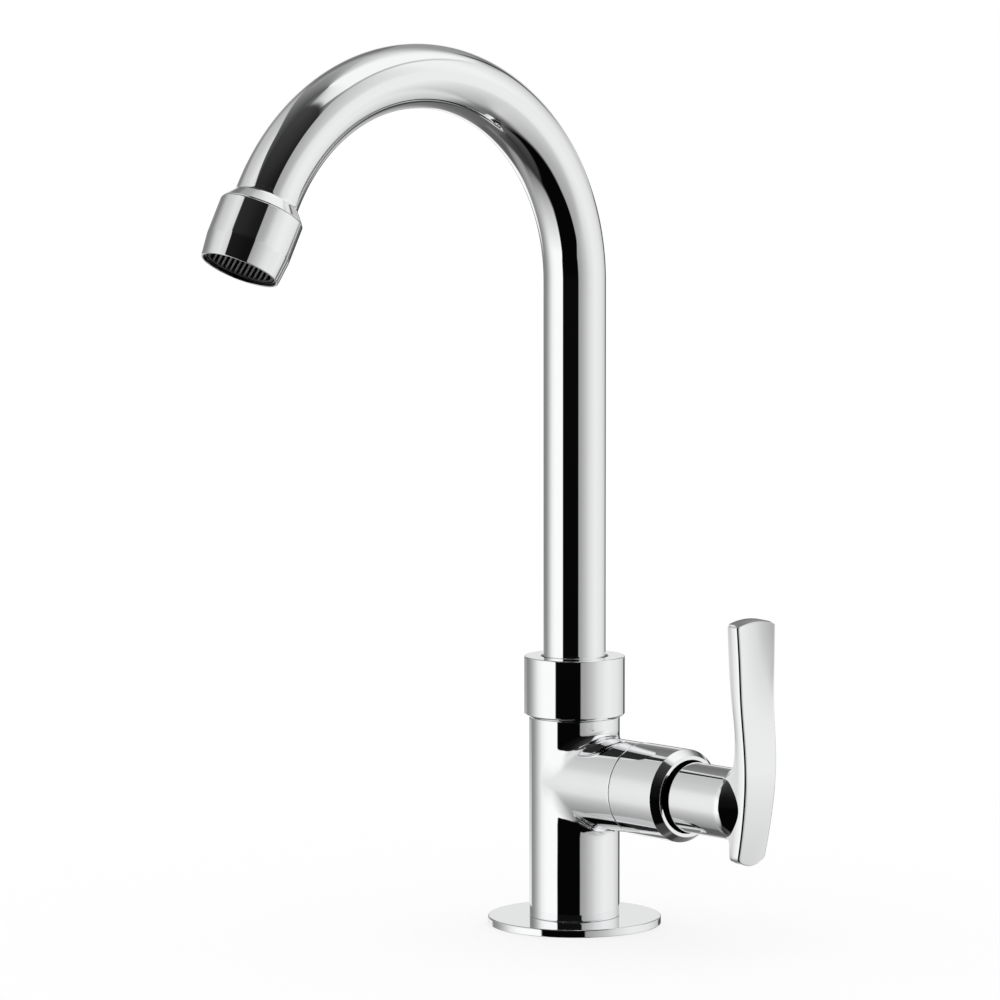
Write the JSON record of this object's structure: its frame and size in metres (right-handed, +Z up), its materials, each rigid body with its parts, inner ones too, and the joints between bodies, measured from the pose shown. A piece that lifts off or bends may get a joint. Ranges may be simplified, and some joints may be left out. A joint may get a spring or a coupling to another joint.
{
  "type": "basin tap",
  "caption": "Pillar basin tap with a swivelling swan-neck spout, a side valve branch with a quarter-turn lever, an aerator and a clamped threaded shank.",
  "frame": {"origin": "on the deck plane, on the axis of the upright column", "axes": "+Z up along the column, -Y the way the spout reaches over the basin, +X along the valve branch to the lever"},
  "size_m": [0.115, 0.175, 0.33],
  "materials": {
    "flange_chrome": "polished chrome plate",
    "gasket_rubber": "matt black rubber",
    "shank_brass": "bare machined brass thread",
    "seal_rubber": "matt black rubber",
    "deck_rubber": "matt black rubber",
    "washer_steel": "stamped stainless steel",
    "nut_brass": "bare machined brass",
    "body_chrome": "polished chrome plate on cast brass",
    "ceramic": "lapped white ceramic",
    "cartridge_brass": "turned brass",
    "spindle_brass": "turned brass",
    "clip_steel": "spring steel",
    "cover_chrome": "polished chrome plate",
    "slip_plastic": "natural acetal",
    "foot_brass": "turned brass",
    "nut_chrome": "polished chrome plate",
    "tube_chrome": "polished chrome plate on drawn brass tube",
    "nozzle_chrome": "polished chrome plate",
    "aerator_chrome": "polished chrome plate",
    "insert_plastic": "dark grey moulded plastic",
    "screen_steel": "woven stainless wire",
    "grille_plastic": "dark grey moulded plastic",
    "lever_chrome": "polished chrome plate on cast zinc",
    "screw_steel": "blackened steel",
    "plug_chrome": "bright plated cap"
  },
  "bodies": {
    "base": {"base_flange": "flange_chrome", "flange_gasket": "gasket_rubber", "shank": "shank_brass", "shank_seal": "seal_rubber", "deck_washer": "deck_rubber", "clamp_washer": "washer_steel", "backnut": "nut_brass", "body": "body_chrome", "seat_seal": "seal_rubber", "fixed_disc": "ceramic", "cartridge_body": "cartridge_brass", "cartridge_oring": "seal_rubber", "cartridge_cover": "cover_chrome", "thrust_washer": "slip_plastic", "slip_ring": "slip_plastic", "spout_nut": "nut_chrome"},
    "spout": {"spout_foot": "foot_brass", "spout_orings": "seal_rubber", "spout_tube": "tube_chrome", "outlet_nozzle": "nozzle_chrome", "aerator_shell": "aerator_chrome", "aerator_washer": "seal_rubber", "aerator_cup": "insert_plastic", "aerator_diffuser": "insert_plastic", "aerator_screens": "screen_steel", "aerator_grille": "grille_plastic"},
    "handle": {"lever": "lever_chrome", "spline_bush": "slip_plastic", "set_screw": "screw_steel", "screw_plug": "plug_chrome", "spindle": "spindle_brass", "spindle_orings": "seal_rubber", "spindle_circlip": "clip_steel", "moving_disc": "ceramic"}
  },
  "joints": [
    {"name": "spout_swivel", "type": "hinge", "parent": "base", "child": "spout", "pos_m": [0, 0, 0.08], "axis": [0, 0, 1], "continuous": true},
    {"name": "handle_turn", "type": "hinge", "parent": "base", "child": "handle", "pos_m": [0.0475, 0, 0.0475], "axis": [1, 0, 0], "range_deg": [0, 90]}
  ]
}
